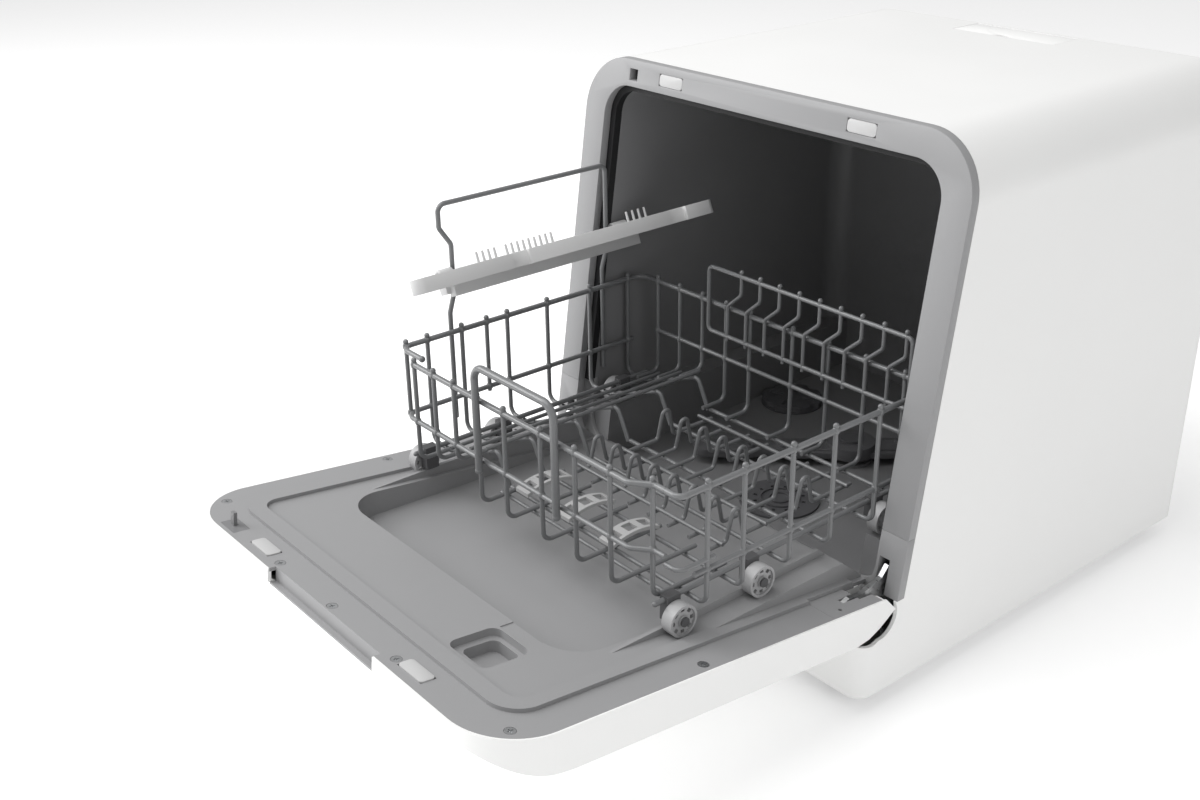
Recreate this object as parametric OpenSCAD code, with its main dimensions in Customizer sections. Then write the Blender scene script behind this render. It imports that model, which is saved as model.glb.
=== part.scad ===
// Countertop dishwasher, door down and rack rolled out onto it.
// Millimetres. X is to the right of someone facing the door, Y goes to the
// back, Z is up from the bench. The origin is the middle of the footprint
// with the door open. Inside the file Y = 0 is the door line at sill height,
// and place() moves each piece to the origin.

/* [Cabinet] */
// Outside width of the cabinet and of the door
cab_w = 420; // [400:1:460]
// Height from the bench to the top
cab_h = 440; // [425:1:480]
// Depth behind the door line
cab_back = 402; // [396:1:450]
// Wall of the outer casing
case_wall = 3; // [2:0.5:4]
// Outer radius of the two top corners
case_r = 48; // [36:1:60]
// Bench to the underside of the cabinet, which the feet give
foot_h = 15; // [10:1:25]
// Backward lean of the front frame, degrees
lean = 8.3; // [6:0.1:10]
// Height at which the door's inner face meets the front frame
sill_z = 97; // [94:1:100]
// Front of the plinth ahead of the door line
plinth_y = 38; // [34:1:44]

/* [Front frame and seal] */
// Width of the frame at each side
frame_side = 25.7; // [23:0.1:32]
// Width of the frame at the top
frame_top = 22.5; // [20:0.5:30]
// Thickness of the frame
frame_t = 8; // [6:0.5:10]
// Inner corner radius of the frame
frame_r = 28; // [24:1:34]
// Height of the joint between the frame and its lower piece
split_z = 141; // [130:1:150]
// Width of the seal that shows inside the frame
seal_w = 6; // [5:0.5:7]

/* [Wash tub] */
// Wall of the tub
tub_wall = 2.5; // [2:0.5:3.5]
// Inner face of the tub's back wall
tub_back = 356; // [352:1:370]
// Inner floor of the tub
tub_floor = 68; // [64:1:72]
// Radius of the tub's upright back corners
tub_r = 20; // [14:1:22]
// Top of the rails that the rack wheels run on
rail_z = 118.6; // [117:0.1:121]
// Width of each rail in the tub
rail_w = 22; // [20:1:24]

/* [Door] */
// Length of the door from its pivot to the free edge
door_len = 362; // [350:1:400]
// Thickness of the door
door_t = 32.8; // [30:0.2:36]
// Rise of the open door toward its free edge, degrees
door_rise = 6.7; // [6:0.1:8]
// Corner radius at the free edge
door_r = 50; // [36:1:60]
// Wall of the white outer shell
skin = 3; // [2:0.5:4]
// Thickness of the grey inner panel
panel_t = 3; // [2:0.5:4]
// Depth of the drain basin at its far end
basin_d = 24; // [18:1:25]
// Half width of the drain basin
basin_x = 148; // [130:1:148]
// Distance from the pivot to the far end of the basin
basin_end = 254; // [220:1:260]
// Height of the moulded ridge that presses on the seal
ridge_h = 3; // [2:0.5:4]
// Diameter of the hinge pin
pin_d = 6; // [5:0.5:8]

/* [Rack] */
// Half width of the rack, to its wire centres
rack_x = 171; // [165:1:173]
// Front of the rack ahead of the door line
rack_front = 202; // [196:1:206]
// Back of the rack behind the door line, rack out
rack_back = 75; // [70:1:78]
// Height of the rack's rim
rim_z = 234; // [225:1:245]
// Height of the rack's middle rail
mid_z = 171; // [165:1:176]
// Height of the rack's floor wires
floor_z = 140; // [139:1:144]
// Rim wire
rim_d = 4.6; // [4:0.2:5.4]
// Upright wire
wire_d = 3.8; // [3.4:0.2:4.4]
// Floor wire
floor_d = 3.4; // [3:0.2:3.8]
// Pull handle wire
pull_d = 6; // [5:0.5:7]
// Height of the plate tines
tine_h = 31; // [20:1:36]
// Tines in a row
tine_n = 8; // [5:1:8]
// Distance between tines
tine_pitch = 23; // [20:1:24]

/* [Rack wheels] */
// Radius of a wheel
wheel_r = 12.5; // [11:0.5:13]
// Width of a wheel
wheel_w = 10; // [8:0.5:10]
// Middle of the wheels from the middle of the rack
wheel_x = 162; // [161:0.5:163]
// Axle pin
axle_d = 5; // [4:0.5:6]

/* [Cup shelf] */
// Length of the shelf
shelf_l = 312; // [290:1:314]
// Width of the shelf from its hinge rod
shelf_w = 88; // [70:1:95]
// Height of the shelf's rim
shelf_rim = 12; // [8:1:14]
// Tilt of the shelf in use, degrees
shelf_tilt = 23; // [15:1:30]
// Height of the hinge rod
shelf_z = 287; // [280:1:295]
// Top of the tall wire frame
tall_z = 346; // [336:1:352]

/* [Washing parts] */
// Length of the spray arm
arm_l = 296; // [240:1:300]
// Width of the spray arm
arm_w = 32; // [24:1:40]
// Diameter of the spray arm's post
post_d = 14; // [10:1:18]

/* [Controls] */
// Diameter of a button
button_d = 11; // [9:0.5:13]
// How far a button goes in
button_travel = 1.2; // [0.8:0.1:1.6]

/* [Hidden] */
$fn = 48;
fit = 0.05;        // running fit, each side
gap = 0.3;         // clear space between pieces that pass each other

WHITE = "#e9e9e7"; GREY = "#a9aaab"; PALE = "#c9c9c9"; DARK = "#4a4b4d";
BLACK = "#161616"; WIRE = "#77787a"; STEEL = "#b9bcc0"; PANEL = "#adaeb0";

half_w = cab_w / 2;
open_x = half_w - frame_side;              // half width of the frame's opening
open_top = cab_h - frame_top;
tub_x = open_x - seal_w;                   // inner half width of the tub
tub_top = open_top - seal_w;
lip_z = tub_floor + 16;                    // top of the tub's front sill
seal_v = frame_t + 0.2;                    // the seal lies behind the frame
tub_v = seal_v + 7.2;                      // front edge of the tub
sill_v = tub_v + 4;                        // front face of the tub's sill
door_h = door_t / 2;
// the pivot lies as far under the open door's face as ahead of the frame
piv_k = door_h / (1 + sin(door_rise - lean));
piv_y = -piv_k * (sin(door_rise) + cos(lean));
piv_z = sill_z + piv_k * (sin(lean) - cos(door_rise));
tip_y = piv_y - door_len * cos(door_rise) + (door_h - 11) * sin(door_rise);
mid_y = (cab_back + tip_y) / 2;            // the origin, in door-line terms
case_x = half_w - case_wall;               // inner half width of the casing
base_top = foot_h + 3;                     // upper face of the base pan's floor
axle_z = rail_z + wheel_r + 0.1;
wheel_y = [-182, -104, 34];                // front, middle and rear wheels
cross_y = [-165, -130, -82, -38, 11, 57];  // wires that cross the rack
front_x = [-134, -106, -78, -46, -12, 33, 73, 112, 144];
foot_y = [-8, 372];

function unit(v) = v / norm(v);
function turn_at(p, i) = let (u = unit(p[i - 1] - p[i]), w = unit(p[i + 1] - p[i]))
  acos(max(-1, min(1, u * w)));
function trim(p, i, r) = r / tan(turn_at(p, i) / 2);

// ---- helpers ----
module place() { translate([0, -mid_y, 0]) children(); }
module mirror_x() { children(); mirror([1, 0, 0]) children(); }
// a profile in X and Z, pushed along Y from y0 to y1
module along_y(y0, y1) { translate([0, y1, 0]) rotate([90, 0, 0]) linear_extrude(y1 - y0) children(); }
// a profile in Y and Z, pushed along X from x0 to x1
module along_x(x0, x1) { translate([x0, 0, 0]) rotate([90, 0, 90]) linear_extrude(x1 - x0) children(); }
module rod(a, b, d) {
  v = b - a; l = norm(v);
  translate(a) rotate([0, acos(v[2] / l), atan2(v[1], v[0])]) cylinder(d = d, h = l);
}
// rounded rectangle from (x0,y0) to (x1,y1)
module rrect(x0, y0, x1, y1, r) {
  translate([x0 + r, y0]) square([x1 - x0 - 2 * r, y1 - y0]);
  translate([x0, y0 + r]) square([x1 - x0, y1 - y0 - 2 * r]);
  for (x = [x0 + r, x1 - r], y = [y0 + r, y1 - r]) translate([x, y]) circle(r);
}
// rounded at the top corners only
module arch(hx, z0, z1, r) {
  translate([-hx, z0]) square([2 * hx, z1 - z0 - r]);
  translate([-hx + r, z0]) square([2 * hx - 2 * r, z1 - z0]);
  for (s = [-1, 1]) translate([s * (hx - r), z1 - r]) circle(r);
}
// the leaning front: local Y is the depth behind the frame's face
module on_front() { translate([0, 0, sill_z]) rotate([-lean, 0, 0]) children(); }
module front_slab(v0, v1) {
  on_front() translate([-300, v0, -200]) cube([600, v1 - v0, 700]);
}
// the open door: local -Y runs to the free edge, Z is the inner face's side
module on_door() { translate([0, piv_y, piv_z]) rotate([-door_rise, 0, 0]) children(); }
module door_plan(i, end) {
  r = door_r - i;
  translate([-half_w + i, -door_len + door_r]) square([cab_w - 2 * i, door_len - door_r + end]);
  translate([-half_w + door_r, -door_len + i]) square([cab_w - 2 * door_r, door_r]);
  for (s = [-1, 1]) translate([s * (half_w - door_r), -door_len + door_r]) circle(r);
}
// one bent wire: straight legs, round bends and a sleeve of coating at each joint
module elbow(a, b, c, d, r) {
  u = unit(a - b); w = unit(c - b);
  ang = acos(max(-1, min(1, u * w)));
  t = r / tan(ang / 2);
  z = -unit(cross(u, w));
  ctr = b + unit(u + w) * (r / sin(ang / 2));
  x = unit(b + u * t - ctr);
  y = cross(z, x);
  multmatrix([[x[0], y[0], z[0], ctr[0]], [x[1], y[1], z[1], ctr[1]],
      [x[2], y[2], z[2], ctr[2]], [0, 0, 0, 1]])
    rotate_extrude(angle = 180 - ang) translate([r, 0]) circle(d = d);
  for (e = [u, w]) rod(b + e * (t - 0.4), b + e * (t + 0.4), d + 0.1);
}
module wire(p, d, r) {
  n = len(p);
  for (i = [0 : n - 2]) {
    v = unit(p[i + 1] - p[i]);
    rod(i == 0 ? p[0] : p[i] + v * trim(p, i, r),
        i == n - 2 ? p[n - 1] : p[i + 1] - v * trim(p, i + 1, r), d);
  }
  if (n > 2) for (i = [1 : n - 2]) elbow(p[i - 1], p[i], p[i + 1], d, r);
}
module bead(p, d) { translate(p) sphere(d = d + 0.9); }

// ---- cabinet ----
// the space that the door's lower end turns in
module door_swing() {
  along_x(-300, 300) {
    translate([-32, 92]) circle(30.5);
    translate([piv_y, piv_z]) circle(18.6);
    translate([-200, 92 - 30.4]) square([168, 200]);
  }
}
module outer_casing() color(WHITE) place() difference() {
  union() {
    intersection() {
      along_y(-60, cab_back - 3.2) difference() {
        arch(half_w, foot_h, cab_h, case_r);
        arch(case_x, foot_h - 1, cab_h - case_wall, case_r - case_wall);
      }
      front_slab(frame_t + 0.05, 700);
      translate([-300, -100, sill_z - 6]) cube([600, 700, 500]);
    }
    translate([0, 0, foot_h]) linear_extrude(sill_z - 6 - foot_h) difference() {
      rrect(-half_w, -plinth_y, half_w, cab_back + 30, 14);
      rrect(-case_x, -plinth_y + case_wall, case_x, cab_back + 40, 11);
      translate([-300, cab_back - 3.2]) square([600, 100]);
    }
    // returns that the lower frame screws to
    mirror_x() translate([case_x - 4, 4, foot_h + 34]) cube([4.5, 3, sill_z - foot_h - 42]);
  }
  door_swing();
  // opening for the filler lid, and the bores of its pins
  translate([-lid_x - 0.5, lid_y0 - 0.5, cab_h - 10]) cube([2 * lid_x + 1, lid_y1 - lid_y0 + 1, 20]);
  translate([-lid_x - 4, lid_piv_y, lid_piv_z]) rotate([0, 90, 0]) cylinder(r = lid_pin_r + fit, h = 2 * lid_x + 8);
}
module base_pan() color(PALE) place() {
  difference() {
    translate([0, 0, foot_h]) linear_extrude(32)
      rrect(-case_x + gap, -plinth_y + case_wall + gap, case_x - gap, cab_back - 3.5, 10);
    translate([0, 0, base_top]) linear_extrude(40)
      rrect(-case_x + gap + 2, -plinth_y + case_wall + gap + 2, case_x - gap - 2, cab_back - 5.5, 8);
    // slots for cooling air
    for (x = [-150 : 20 : 150]) translate([x - 3, 150, foot_h - 1]) cube([6, 60, 10]);
    translate([pocket_x0 - 1, pocket_y - 1, pocket_z0 - 1])
      cube([pocket_x1 - pocket_x0 + 2, 60, pocket_z1 - pocket_z0 + 2]);
  }
  // posts that carry the tub
  for (x = [-tub_x + 22, tub_x - 22], y = [60, tub_back - 14])
    translate([x, y, base_top - 0.5]) cylinder(r = 7, h = tub_floor - tub_wall - base_top + 0.5 - 0.05);
}
pocket_x0 = 58; pocket_x1 = 192; pocket_z0 = 24; pocket_z1 = 62; pocket_y = cab_back - 28;
module rear_cover() color(WHITE) place() difference() {
  union() {
    along_y(cab_back - 3, cab_back) arch(half_w, foot_h, cab_h, case_r);
    translate([pocket_x0, pocket_y, pocket_z0])
      cube([pocket_x1 - pocket_x0, cab_back - pocket_y, pocket_z1 - pocket_z0]);
  }
  translate([pocket_x0 + 2, pocket_y + 2, pocket_z0 + 2])
    cube([pocket_x1 - pocket_x0 - 4, 60, pocket_z1 - pocket_z0 - 4]);
  for (z = [90 : 14 : 230]) translate([-110, cab_back - 10, z]) cube([70, 20, 5]);
  for (z = [90 : 14 : 230]) translate([40, cab_back - 10, z]) cube([70, 20, 5]);
  // holes for the connectors in the pocket's floor
  for (c = port_list) translate([c[0], pocket_y - 1, c[1]]) rotate([-90, 0, 0]) cylinder(r = c[2] + fit, h = 5);
}
port_list = [[86, 43, 13.2], [126, 43, 9], [164, 43, 8]];
module front_frame() color(GREY) place() intersection() {
  along_y(-20, 120) difference() {
    arch(half_w, split_z + 0.1, cab_h, case_r);
    rrect(-open_x, lip_z, open_x, open_top, frame_r);
    for (s = [-1, 1]) translate([s * pad_x - pad_w / 2 - 0.2, open_top + 5.8]) square([pad_w + 0.4, 10.4]);
    translate([lock_x - 5, open_top + 5]) square([10, 10]);
  }
  front_slab(0, frame_t);
}
module lower_frame() color(GREY) place() difference() {
  union() {
    intersection() {
      along_y(-20, 60) difference() {
        translate([-half_w, sill_z - 6]) square([cab_w, split_z - sill_z + 6]);
        rrect(-open_x, lip_z, open_x, open_top, frame_r);
      }
      front_slab(0, frame_t);
    }
    // sill moulding round the tub's mouth, with the apron under it
    intersection() {
      along_y(-20, 60) difference() {
        translate([-open_x - 2, foot_h + 34]) square([2 * open_x + 4, split_z - foot_h - 34]);
        rrect(-tub_x, lip_z, tub_x, open_top, frame_r - seal_w);
      }
      front_slab(seal_v + 7.4, sill_v);
    }
    // webs that tie the sill to the columns
    intersection() {
      mirror_x() translate([open_x + 0.2, 0, sill_z - 6]) cube([1.8, 60, split_z - sill_z + 6]);
      front_slab(frame_t - 0.1, seal_v + 7.5);
    }
  }
  // slots that the hinge arms go through
  mirror_x() translate([brk_x0 - 0.6, -30, 40]) cube([arm_x1 - brk_x0 + 2.6, 90, 80]);
}
module door_seal() color(BLACK) place() intersection() {
  along_y(-20, 120) difference() {
    rrect(-open_x - 1.5, lip_z - 1.5, open_x + 1.5, open_top + 1.5, frame_r + 1.5);
    rrect(-tub_x, lip_z, tub_x, open_top - seal_w, frame_r - seal_w);
    translate([-300, 0]) square([600, split_z]);
  }
  front_slab(seal_v, tub_v - 0.2);
}
module tub_form(i) {
  intersection() {
    along_y(-30, tub_back + i) rrect(-tub_x - i, tub_floor - i, tub_x + i, tub_top + i, frame_r - seal_w + i);
    translate([0, 0, 0]) linear_extrude(500) rrect(-tub_x - i, -80, tub_x + i, tub_back + i, tub_r + i);
  }
}
module wash_tub() color(DARK) place() difference() {
  union() {
    difference() {
      union() {
        intersection() { tub_form(tub_wall); front_slab(tub_v, 700); }
        // flange that the seal lies on
        intersection() {
          along_y(-20, 120) rrect(-open_x - 3, split_z + 1, open_x + 3, open_top + 3, 10);
          front_slab(tub_v, tub_v + 2.5);
        }
      }
      // the wash space
      intersection() { tub_form(0); front_slab(sill_v + tub_wall, 700); }
      intersection() {
        along_y(-30, 90) rrect(-tub_x, lip_z, tub_x, tub_top, frame_r - seal_w);
        front_slab(-60, 60);
      }
      // room for the sill moulding under the mouth
      intersection() {
        translate([-300, -60, 0]) cube([600, 200, split_z + 0.2]);
        front_slab(-60, sill_v + 0.1);
      }
    }
    // rails for the rack wheels
    intersection() {
      union() {
        mirror_x() translate([tub_x - rail_w, -20, tub_floor - 1]) cube([rail_w + 1, 400, rail_z - tub_floor + 1]);
      }
      tub_form(1);
      front_slab(sill_v + 0.2, 700);
    }
    // seat of the spray arm's post
    translate([0, arm_y, tub_floor - 1]) cylinder(r = 20, h = 4);
    // flange ring over the sump
    translate([well_x, well_y, tub_floor - tub_wall - 2]) cylinder(r = well_r + 5, h = 3);
  }
  translate([well_x, well_y, tub_floor - 20]) cylinder(r = well_r, h = 30);
  translate([0, arm_y, tub_floor - 10]) cylinder(d = post_d - 4, h = 20);
  // supply hole beside the salt cap
  translate([cap_x, cap_y, tub_floor - 10]) cylinder(r = 12, h = 20);
}
arm_y = 186; well_x = 12; well_y = 78; well_r = 32; cap_x = -124; cap_y = 238;
module sump_cup() color(DARK) place() translate([well_x, well_y, 0]) difference() {
  union() {
    translate([0, 0, 34]) cylinder(r = well_r + 3, h = tub_floor - tub_wall - 2.05 - 34);
    // outlet to the wash pump and to the drain pump
    translate([0, 0, 44]) rotate([0, -90, 0]) cylinder(r = 8, h = 48);
    translate([0, 0, 44]) rotate([0, 90, 0]) cylinder(r = 7, h = 50);
  }
  translate([0, 0, 36.5]) cylinder(r = well_r, h = 60);
  translate([0, 0, 44]) rotate([0, -90, 0]) cylinder(r = 6, h = 60);
  translate([0, 0, 44]) rotate([0, 90, 0]) cylinder(r = 5, h = 60);
}
module filter_basket() color(DARK) place() translate([well_x, well_y, 0]) difference() {
  union() {
    translate([0, 0, 38]) cylinder(r = well_r - 6, h = tub_floor - 38);
    translate([0, 0, tub_floor + 0.05]) cylinder(r = well_r + 4, h = 2);
    translate([0, 0, tub_floor - 1]) cylinder(r = well_r - 6, h = 3);
    for (a = [0 : 15 : 345]) rotate(a) translate([well_r - 7, -1, 40]) cube([3, 2, tub_floor - 40 + 1]);
    for (r = [10, 18]) translate([0, 0, tub_floor + 2]) difference() {
      cylinder(r = r, h = 1.6); translate([0, 0, -1]) cylinder(r = r - 1.6, h = 4);
    }
  }
  translate([0, 0, 40]) cylinder(r = well_r - 8, h = tub_floor - 40.5);
  // mesh openings, and the drain slots in the lid
  for (a = [7.5 : 15 : 352.5], z = [44 : 7 : 58]) rotate(a) translate([15, -1.4, z]) cube([30, 2.8, 4]);
  for (a = [0 : 30 : 330]) rotate(a) translate([20.5, -1.5, tub_floor - 5]) cube([3.5, 3, 12]);
}
module salt_cap() color(DARK) place() translate([cap_x, cap_y, 0]) difference() {
  union() {
    translate([0, 0, tub_floor + 0.05]) cylinder(r = 31, h = 7);
    translate([0, 0, tub_floor - 8]) cylinder(r = 11.8, h = 10);
  }
  // scalloped grip and slots
  for (a = [0 : 45 : 315]) rotate(a) translate([35, 0, tub_floor + 2]) cylinder(r = 8, h = 10);
  for (a = [20, 110, 200, 290]) rotate(a) translate([10, -1.5, tub_floor + 4.5]) cube([13, 3, 5]);
}
module spray_post() color(DARK) place() translate([0, arm_y, 0]) difference() {
  union() {
    translate([0, 0, tub_floor + 3.05]) cylinder(d = post_d + 8, h = 3);
    translate([0, 0, tub_floor - 6]) cylinder(d = post_d - 4.2, h = 14);
    translate([0, 0, tub_floor + 5]) cylinder(d = post_d, h = 15.4);
    translate([0, 0, tub_floor + 20.4]) cylinder(d = post_d + 6, h = 2.4);
  }
  translate([0, 0, tub_floor - 10]) cylinder(d = 6, h = 24);
}
module spray_arm() color("#3c3d3f") place() translate([0, arm_y, tub_floor + 8.2]) rotate(49) difference() {
  union() {
    translate([-arm_l / 2 + 12, -arm_w / 2 + 4]) cube([arm_l - 24, arm_w - 8, 8]);
    for (s = [-1, 1]) translate([s * (arm_l / 2 - 12), 0, 0]) cylinder(r = 12, h = 8);
    linear_extrude(6) polygon([[-arm_l / 2 + 12, -12], [-30, -arm_w / 2], [30, -arm_w / 2], [arm_l / 2 - 12, -12],
      [arm_l / 2 - 12, 12], [30, arm_w / 2], [-30, arm_w / 2], [-arm_l / 2 + 12, 12]]);
    cylinder(r = 23, h = 12);
    for (x = [-125, -95, -65, -38, 46, 76, 104, 131]) translate([x, x > 0 ? 4 : -4, 7]) cylinder(r = 4.5, h = 3);
  }
  translate([0, 0, -1]) cylinder(r = post_d / 2 + fit, h = 20);
  for (x = [-125, -95, -65, -38, 46, 76, 104, 131]) translate([x, x > 0 ? 4 : -4, 5]) cylinder(r = 1.5, h = 10);
  // waist of the blade on each side of the hub
  for (s = [-1, 1], t = [-1, 1]) translate([s * 80, t * (arm_w / 2 + 26), -1]) cylinder(r = 32, h = 20);
}
module wash_pump() color("#5a5b5d") place() {
  translate([-36.2 + 0, well_y, 44]) rotate([0, -90, 0]) cylinder(r = 20, h = 16);
  translate([-52, well_y, 44]) rotate([0, -90, 0]) cylinder(r = 16, h = 52);
  translate([-56, well_y, 44]) rotate([0, -90, 0]) for (i = [0 : 4]) translate([0, 0, i * 9]) cylinder(r = 18, h = 4);
  translate([-100, well_y - 12, base_top + 0.05]) cube([44, 24, 16]);
  translate([-48, well_y - 4, 40]) cube([8, 60, 8]);
}
module drain_pump() color("#5a5b5d") place() {
  translate([62.2, well_y, 44]) rotate([0, 90, 0]) cylinder(r = 16, h = 14);
  translate([76, well_y, 44]) rotate([0, 90, 0]) cylinder(r = 12, h = 36);
  translate([80, well_y - 9, base_top + 0.05]) cube([26, 18, 16]);
}
module flow_heater() color(STEEL) place() {
  translate([-44, well_y + 56.1, 44]) rotate([-90, 0, 0]) cylinder(r = 13, h = 96);
  translate([-54, well_y + 70, base_top + 0.05]) cube([20, 14, 16]);
  translate([-54, well_y + 124, base_top + 0.05]) cube([20, 14, 16]);
}
tank_x = 150; tank_y0 = tub_back + tub_wall + 1; tank_y1 = cab_back - 4.2; tank_z0 = 70; tank_z1 = 404;
module water_tank() color(PALE) place() difference() {
  union() {
    translate([0, 0, tank_z0]) linear_extrude(tank_z1 - tank_z0) rrect(-tank_x, tank_y0, tank_x, tank_y1, 6);
    translate([0, 0, tank_z1 - 1]) linear_extrude(cab_h - case_wall - tank_z1 + 1 - 0.1)
      rrect(-lid_x + 4, tank_y0, lid_x - 4, tank_y1, 6);
    // legs down to the base
    for (x = [-120, 20]) translate([x, tank_y0 + 4, base_top + 0.05]) cube([24, 20, tank_z0 - base_top + 1]);
  }
  translate([0, 0, tank_z0 + 2.5]) linear_extrude(tank_z1 - tank_z0 - 5) rrect(-tank_x + 2.5, tank_y0 + 2.5, tank_x - 2.5, tank_y1 - 2.5, 4);
  translate([0, 0, tank_z1 - 10]) linear_extrude(60) rrect(-lid_x + 6.5, tank_y0 + 2.5, lid_x - 6.5, tank_y1 - 2.5, 4);
}
lid_x = 54; lid_y0 = tub_back + 3; lid_y1 = cab_back - 5.5; lid_t = 2.6;
lid_pin_r = 0.8; lid_piv_y = lid_y1 - 1.5; lid_piv_z = cab_h - 1.5;
module tank_lid() color(WHITE) place() difference() {
  union() {
    translate([-lid_x, lid_y0, cab_h - lid_t]) cube([2 * lid_x, lid_piv_y - lid_y0, lid_t]);
    translate([-lid_x, lid_piv_y, lid_piv_z]) rotate([0, 90, 0]) cylinder(r = 1.5, h = 2 * lid_x);
    translate([-lid_x - 3, lid_piv_y, lid_piv_z]) rotate([0, 90, 0]) cylinder(r = lid_pin_r, h = 2 * lid_x + 6);
  }
  // finger notch in the front edge
  translate([0, lid_y0 - 6, cab_h - 10]) cylinder(r = 12, h = 20);
}
module control_board() color("#2f5d46") place() {
  translate([90, 210, base_top + 14]) cube([96, 120, 2]);
  for (x = [96, 176], y = [216, 320]) translate([x, y, base_top + 0.05]) cylinder(r = 4, h = 14.5);
  translate([100, 230, base_top + 15.5]) cube([28, 34, 14]);
  translate([140, 226, base_top + 15.5]) cube([20, 20, 18]);
  translate([136, 270, base_top + 15.5]) cube([34, 40, 9]);
}
lock_x = -151; pad_x = 104; pad_w = 28;
module door_lock() color("#3a3a3c") place() difference() {
  intersection() {
    translate([lock_x - 16, -20, open_top + 4.2]) cube([32, 150, cab_h - case_wall - open_top - 6]);
    front_slab(frame_t + 0.05, frame_t + 34);
  }
  intersection() {
    translate([lock_x - 4.5, -20, open_top + 5.5]) cube([9, 150, 9]);
    front_slab(frame_t - 5, frame_t + 16);
  }
}
module frame_pads() color(PALE) place() intersection() {
  along_y(-20, 120) mirror_x() translate([pad_x, 0]) rrect(-pad_w / 2, open_top + 6, pad_w / 2, open_top + 16, 3);
  front_slab(0.2, frame_t);
}
module rubber_feet() color(BLACK) place() for (x = [-172, 172], y = foot_y) translate([x, y, 0]) difference() {
  union() {
    cylinder(r = 14, h = foot_h - 4);
    cylinder(r = 11, h = foot_h - 0.05);
  }
  translate([0, 0, -1]) cylinder(r = 6, h = 4);
}
module cable_gland() color(BLACK) place() port(2, 9, 22) { }
module port(i, r, l) translate([port_list[i][0], pocket_y - 8, port_list[i][1]]) rotate([-90, 0, 0]) difference() {
  union() {
    cylinder(r = port_list[i][2], h = l);
    cylinder(r = port_list[i][2] + 3, h = 7.9);
    children();
  }
  translate([0, 0, -1]) cylinder(r = port_list[i][2] - 3.5, h = l + 20);
}
module inlet_connector() color("#d8d8d8") place() port(0, 13, 24)
  for (i = [0 : 3]) translate([0, 0, 12 + i * 2.7]) cylinder(r = port_list[0][2] + 0.8, h = 1.3);
module drain_connector() color("#d8d8d8") place() port(1, 9, 30)
  for (i = [0 : 2]) translate([0, 0, 14 + i * 5]) cylinder(r1 = port_list[1][2] + 1, r2 = port_list[1][2], h = 3);
arm_x0 = 190.6; arm_x1 = 194.6; brk_x0 = 187.5; brk_x1 = 190.1;
module hinge_brackets() color(STEEL) place() mirror_x() difference() {
  along_x(brk_x0, brk_x1) {
    translate([piv_y, piv_z]) circle(8);
    polygon([[piv_y - 2, piv_z - 7.7], [piv_y + 5, piv_z + 6.2], [30, piv_z - 4], [46, 62], [46, base_top + 0.05],
      [14, base_top + 0.05], [10, 52], [piv_y + 12, piv_z - 14]]);
  }
  along_x(brk_x0 - 1, brk_x1 + 1) translate([piv_y, piv_z]) circle(pin_d / 2 + fit);
  along_x(brk_x0 - 1, brk_x1 + 1) translate([30, 42]) circle(8);
}

// ---- door ----
grip_x = 73; grip_d = 8;
module door_side(top) {   // door seen from its side: Y, Z
  intersection() {
    union() {
      polygon([[-400, -door_h], [-25, -door_h], [-11, -13.5], [0, -7.5], [16, 5], [3, door_h], [3, top], [-400, top]]);
    }
    // the outer face curls up toward the free edge
    union() {
      translate([-door_len + 72, -60]) square([400, 100]);
      translate([-door_len + 72, -door_h + 129]) circle(129);
    }
  }
}
module door_outer() color(WHITE) place() on_door() difference() {
  intersection() {
    translate([0, 0, -40]) linear_extrude(80) door_plan(0, 40);
    along_x(-300, 300) door_side(door_h);
  }
  // inside of the shell
  intersection() {
    translate([0, 0, -40]) linear_extrude(80) door_plan(skin, -16);
    along_x(-300, 300) intersection() {
      translate([-400, -door_h + skin]) square([500, 60]);
      union() {
        translate([-door_len + 72, -60]) square([400, 100]);
        translate([-door_len + 72, -door_h + 129]) circle(129 - skin);
      }
    }
  }
  // seat of the inner panel, and the room above it
  translate([0, 0, door_h - panel_t - 0.05]) linear_extrude(20) door_plan(1.4, 40);
  // finger recess in the free edge
  translate([-grip_x, -door_len - 1, door_h - 13]) cube([2 * grip_x, grip_d + 1, 20]);
  // notches for the hinges
  mirror_x() translate([brk_x0 - 8, -14, -40]) cube([arm_x1 - brk_x0 + 11, 60, 80]);
  mirror_x() translate([arm_x0 - 1, -30, 0]) cube([arm_x1 - arm_x0 + 2, 20, 40]);
  mirror_x() translate([brk_x0 - 12, 0, 0]) rotate([0, 90, 0]) cylinder(r = pin_d / 2 + fit, h = 28);
  // hollow nose between the hinges
  translate([-brk_x0 + 12, -16.5, -1]) cube([2 * brk_x0 - 24, 40, 40]);
  // control panel seat in the outer face
  translate([-panel_x - fit, -door_len + 78 - fit, -door_h - 1]) cube([2 * panel_x + 2 * fit, panel_w + 2 * fit, 10]);
  // bores of the screws
  for (p = screw_at) translate([p[0], p[1], -2]) cylinder(r = 1.7, h = 40);
}
panel_x = 150; panel_w = 26; panel_in = 1.6;
screw_at = [[-192, -336], [-76, -350], [0, -350], [84, -350], [192, -336], [-201, -180], [201, -180]];
module basin_form(x, end, r, z0, z1) {
  translate([0, 18, door_h - 0.6]) rotate([atan((basin_d - 0.6) / (basin_end + 18)), 0, 0])
    translate([0, -18, z0]) linear_extrude(z1 - z0) {
      translate([-x, -end + r]) square([2 * x, end - r + 60]);
      translate([-x + r, -end]) square([2 * x - 2 * r, r + 1]);
      for (s = [-1, 1]) translate([s * (x - r), -end + r]) circle(r);
    }
}
well2 = [84, -311, 126, -269];   // detergent well on the door
tongue = 16.2;                   // the inner panel's end, past the pivot
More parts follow.
